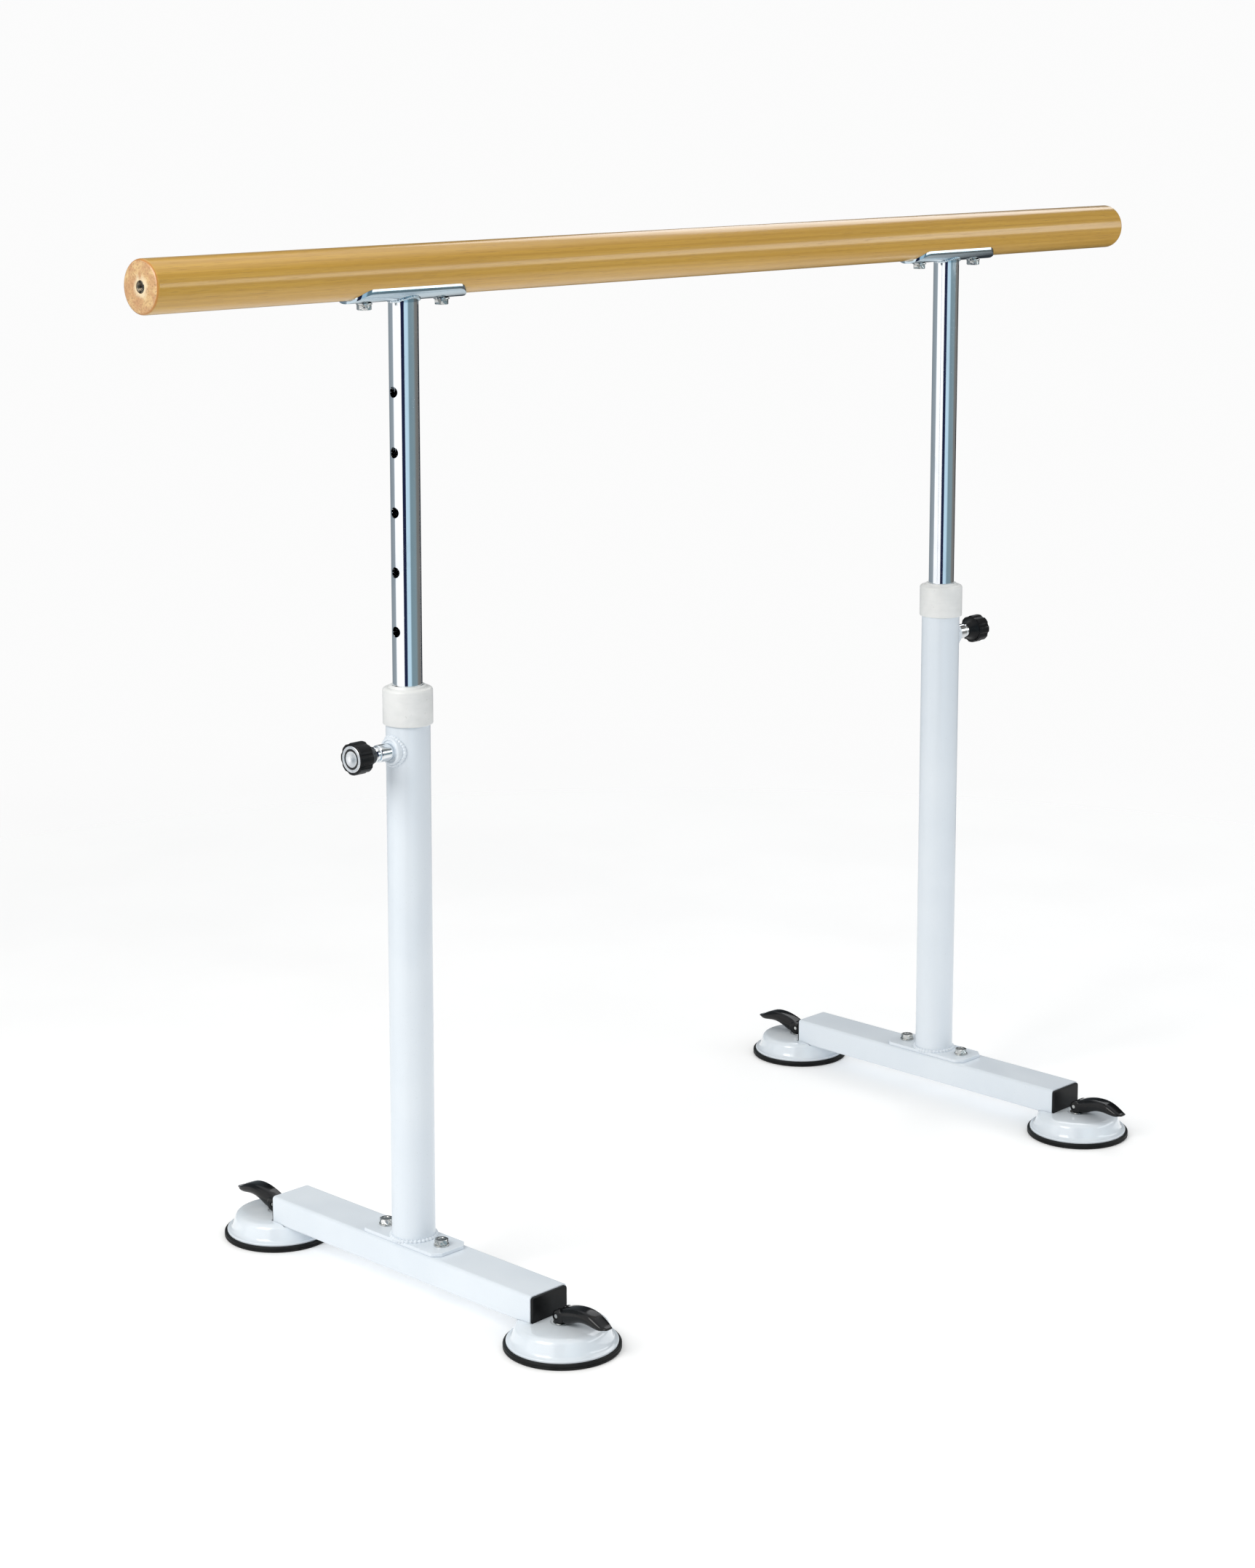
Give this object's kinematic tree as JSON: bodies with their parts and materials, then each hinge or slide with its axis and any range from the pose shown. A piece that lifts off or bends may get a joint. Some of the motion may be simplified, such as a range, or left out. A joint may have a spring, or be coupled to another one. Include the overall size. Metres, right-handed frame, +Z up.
{
  "type": "ballet barre",
  "caption": "Free-standing ballet barre: round wooden bar on telescopic chromed posts with pull pins, T-shaped white feet and lever suction cups.",
  "frame": {"origin": "on the floor, below the middle of the bar", "axes": "+X along the bar, +Y along the foot beams towards the back, +Z up"},
  "size_m": [1.5, 0.563, 1.076],
  "materials": {
    "bar_wood": "clear lacquer",
    "brass_insert": "plated",
    "zinc_hardware": "zinc plated",
    "chromed_steel": "bright chrome",
    "nylon": "moulded nylon",
    "white_powder_coat": "semi-gloss powder coat",
    "disc_metal": "turned",
    "black_plastic": "moulded",
    "spring_steel": "bright wire",
    "black_rubber": "satin",
    "white_plastic": "gloss moulded",
    "black_gloss_plastic": "satin gloss"
  },
  "bodies": {
    "stand": {"left_back_cam_washer": "zinc_hardware", "left_back_cup_dome": "white_plastic", "left_back_cup_pad": "black_rubber", "left_collar": "nylon", "left_foot_beam": "white_powder_coat", "left_foot_plate": "white_powder_coat", "left_front_cam_washer": "zinc_hardware", "left_front_cup_dome": "white_plastic", "left_front_cup_pad": "black_rubber", "left_outer_tube": "white_powder_coat", "left_pin_boss": "white_powder_coat", "left_pin_housing": "chromed_steel", "left_pin_spring": "spring_steel", "right_back_cam_washer": "zinc_hardware", "right_back_cup_dome": "white_plastic", "right_back_cup_pad": "black_rubber", "right_collar": "nylon", "right_foot_beam": "white_powder_coat", "right_foot_plate": "white_powder_coat", "right_front_cam_washer": "zinc_hardware", "right_front_cup_dome": "white_plastic", "right_front_cup_pad": "black_rubber", "right_outer_tube": "white_powder_coat", "right_pin_boss": "white_powder_coat", "right_pin_housing": "chromed_steel", "right_pin_spring": "spring_steel", "beam_end_caps": "black_plastic", "post_bolts": "zinc_hardware", "post_washers": "zinc_hardware", "post_weld_nuts": "zinc_hardware", "cup_screws": "zinc_hardware"},
    "bar": {"wood_bar": "bar_wood", "bar_end_inserts": "brass_insert", "saddle_inserts": "zinc_hardware", "saddle_washers": "zinc_hardware", "saddle_bolts": "zinc_hardware", "left_saddle_plate": "chromed_steel", "right_saddle_plate": "chromed_steel", "left_inner_tube": "chromed_steel", "right_inner_tube": "chromed_steel", "inner_tube_glides": "nylon"},
    "left_pull_pin": {"left_pin_plunger": "zinc_hardware", "left_pin_knob": "black_plastic", "left_pin_knob_disc": "disc_metal"},
    "right_pull_pin": {"right_pin_plunger": "zinc_hardware", "right_pin_knob": "black_plastic", "right_pin_knob_disc": "disc_metal"},
    "left_front_stud": {"left_front_cup_stud": "zinc_hardware", "left_front_lever_pin": "zinc_hardware"},
    "left_front_lever_arm": {"left_front_lever": "black_gloss_plastic"},
    "left_back_stud": {"left_back_cup_stud": "zinc_hardware", "left_back_lever_pin": "zinc_hardware"},
    "left_back_lever_arm": {"left_back_lever": "black_gloss_plastic"},
    "right_front_stud": {"right_front_cup_stud": "zinc_hardware", "right_front_lever_pin": "zinc_hardware"},
    "right_front_lever_arm": {"right_front_lever": "black_gloss_plastic"},
    "right_back_stud": {"right_back_cup_stud": "zinc_hardware", "right_back_lever_pin": "zinc_hardware"},
    "right_back_lever_arm": {"right_back_lever": "black_gloss_plastic"}
  },
  "joints": [
    {"name": "height_adjust", "type": "slide", "parent": "stand", "child": "bar", "axis": [0, 0, 1], "range_m": [-0.36, 0]},
    {"name": "left_pin_pull", "type": "slide", "parent": "stand", "child": "left_pull_pin", "axis": [-1, 0, 0], "range_m": [0, 0.007], "stiffness_N_per_m": 900, "springref_m": -0.006, "deforming": ["left_pin_spring"]},
    {"name": "right_pin_pull", "type": "slide", "parent": "stand", "child": "right_pull_pin", "axis": [1, 0, 0], "range_m": [0, 0.007], "stiffness_N_per_m": 900, "springref_m": -0.006, "deforming": ["right_pin_spring"]},
    {"name": "left_front_stud_lift", "type": "slide", "parent": "stand", "child": "left_front_stud", "axis": [0, 0, 1], "range_m": [-0.0025, 0], "deforming": ["left_front_cup_pad"]},
    {"name": "left_front_lever_lift", "type": "hinge", "parent": "left_front_stud", "child": "left_front_lever_arm", "pos_m": [-0.43, -0.217, 0.03405], "axis": [-1, 0, 0], "range_deg": [0, 90]},
    {"name": "left_back_stud_lift", "type": "slide", "parent": "stand", "child": "left_back_stud", "axis": [0, 0, 1], "range_m": [-0.0025, 0], "deforming": ["left_back_cup_pad"]},
    {"name": "left_back_lever_lift", "type": "hinge", "parent": "left_back_stud", "child": "left_back_lever_arm", "pos_m": [-0.43, 0.217, 0.03405], "axis": [1, 0, 0], "range_deg": [0, 90]},
    {"name": "right_front_stud_lift", "type": "slide", "parent": "stand", "child": "right_front_stud", "axis": [0, 0, 1], "range_m": [-0.0025, 0], "deforming": ["right_front_cup_pad"]},
    {"name": "right_front_lever_lift", "type": "hinge", "parent": "right_front_stud", "child": "right_front_lever_arm", "pos_m": [0.43, -0.217, 0.03405], "axis": [-1, 0, 0], "range_deg": [0, 90]},
    {"name": "right_back_stud_lift", "type": "slide", "parent": "stand", "child": "right_back_stud", "axis": [0, 0, 1], "range_m": [-0.0025, 0], "deforming": ["right_back_cup_pad"]},
    {"name": "right_back_lever_lift", "type": "hinge", "parent": "right_back_stud", "child": "right_back_lever_arm", "pos_m": [0.43, 0.217, 0.03405], "axis": [1, 0, 0], "range_deg": [0, 90]}
  ],
  "couplings": [
    {"joint": "left_front_lever_lift", "follows": "left_front_stud_lift", "rad_per_m": -628.32},
    {"joint": "left_back_lever_lift", "follows": "left_back_stud_lift", "rad_per_m": -628.32},
    {"joint": "right_front_lever_lift", "follows": "right_front_stud_lift", "rad_per_m": -628.32},
    {"joint": "right_back_lever_lift", "follows": "right_back_stud_lift", "rad_per_m": -628.32}
  ]
}
